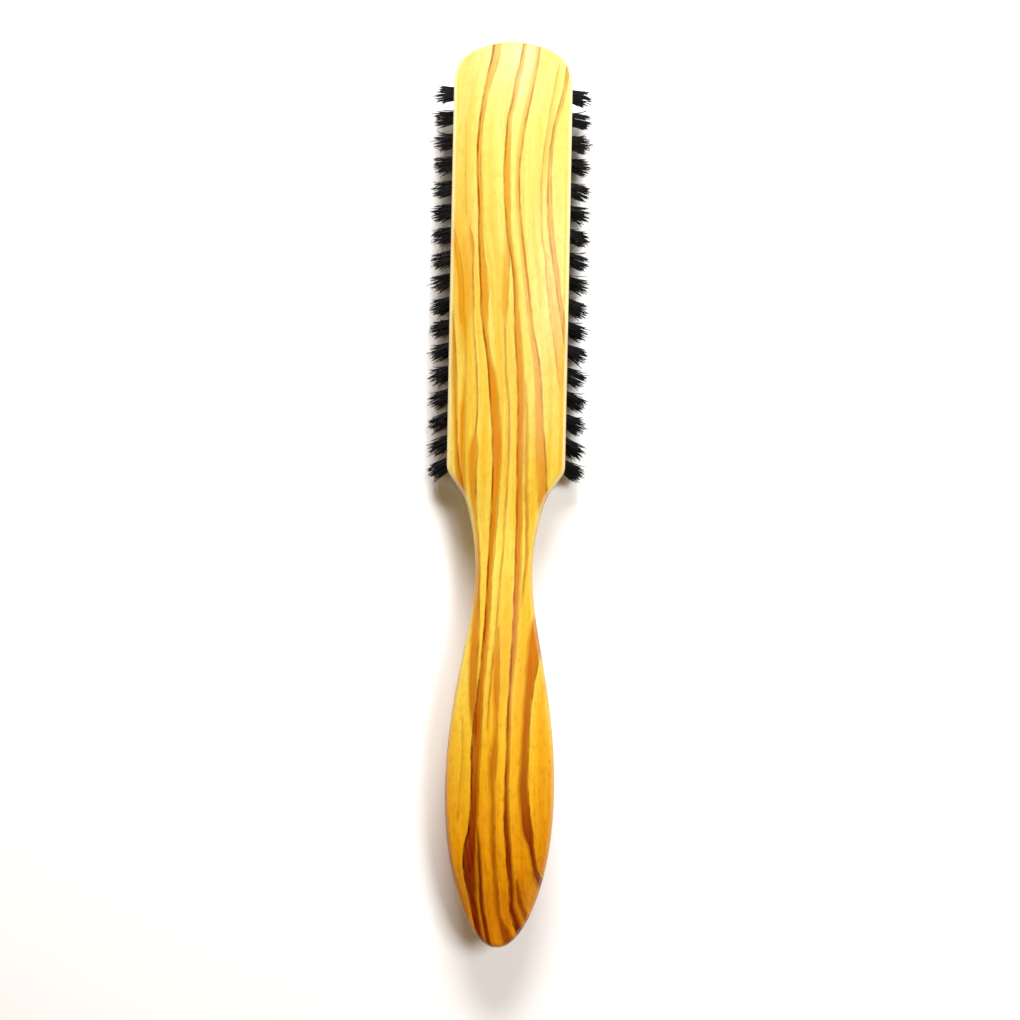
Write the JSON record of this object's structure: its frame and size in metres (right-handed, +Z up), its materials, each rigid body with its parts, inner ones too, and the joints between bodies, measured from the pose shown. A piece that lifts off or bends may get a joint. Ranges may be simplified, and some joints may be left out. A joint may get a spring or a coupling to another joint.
{
  "type": "body dry brush",
  "caption": "Straight wooden dry brush: one-piece carved body with a long narrow head and oval grip, its domed underside filled with fanned tufts of black bristle.",
  "frame": {"origin": "under the middle of the brush's length, on the plane the bristle tips stand on", "axes": "+Y towards the toe of the head, +X to the right seen from above, +Z up through the back"},
  "size_m": [0.0414, 0.22, 0.0242],
  "materials": {
    "olive_wood": "oiled satin",
    "black_bristle": "natural fibre, dull",
    "staple_wire": "drawn wire"
  },
  "bodies": {
    "root": {"brush_body": "olive_wood", "bristle_rank_01": "black_bristle", "bristle_rank_02": "black_bristle", "bristle_rank_03": "black_bristle", "bristle_rank_04": "black_bristle", "bristle_rank_05": "black_bristle", "bristle_rank_06": "black_bristle", "bristle_rank_07": "black_bristle", "bristle_rank_08": "black_bristle", "bristle_rank_09": "black_bristle", "bristle_rank_10": "black_bristle", "bristle_rank_11": "black_bristle", "bristle_rank_12": "black_bristle", "bristle_rank_13": "black_bristle", "bristle_rank_14": "black_bristle", "bristle_rank_15": "black_bristle", "bristle_rank_16": "black_bristle", "bristle_rank_17": "black_bristle", "bristle_rank_18": "black_bristle", "bristle_rank_19": "black_bristle", "bristle_rank_20": "black_bristle", "bristle_rank_21": "black_bristle", "bristle_rank_22": "black_bristle", "bristle_rank_23": "black_bristle", "bristle_rank_24": "black_bristle", "bristle_rank_25": "black_bristle", "bristle_rank_26": "black_bristle", "bristle_rank_27": "black_bristle", "bristle_rank_28": "black_bristle", "bristle_rank_29": "black_bristle", "bristle_rank_30": "black_bristle", "bristle_rank_31": "black_bristle", "bristle_rank_32": "black_bristle", "bristle_rank_33": "black_bristle", "staple_row_1": "staple_wire", "staple_row_2": "staple_wire", "staple_row_3": "staple_wire", "staple_row_4": "staple_wire", "staple_row_5": "staple_wire", "staple_row_6": "staple_wire", "staple_row_7": "staple_wire"}
  },
  "joints": []
}
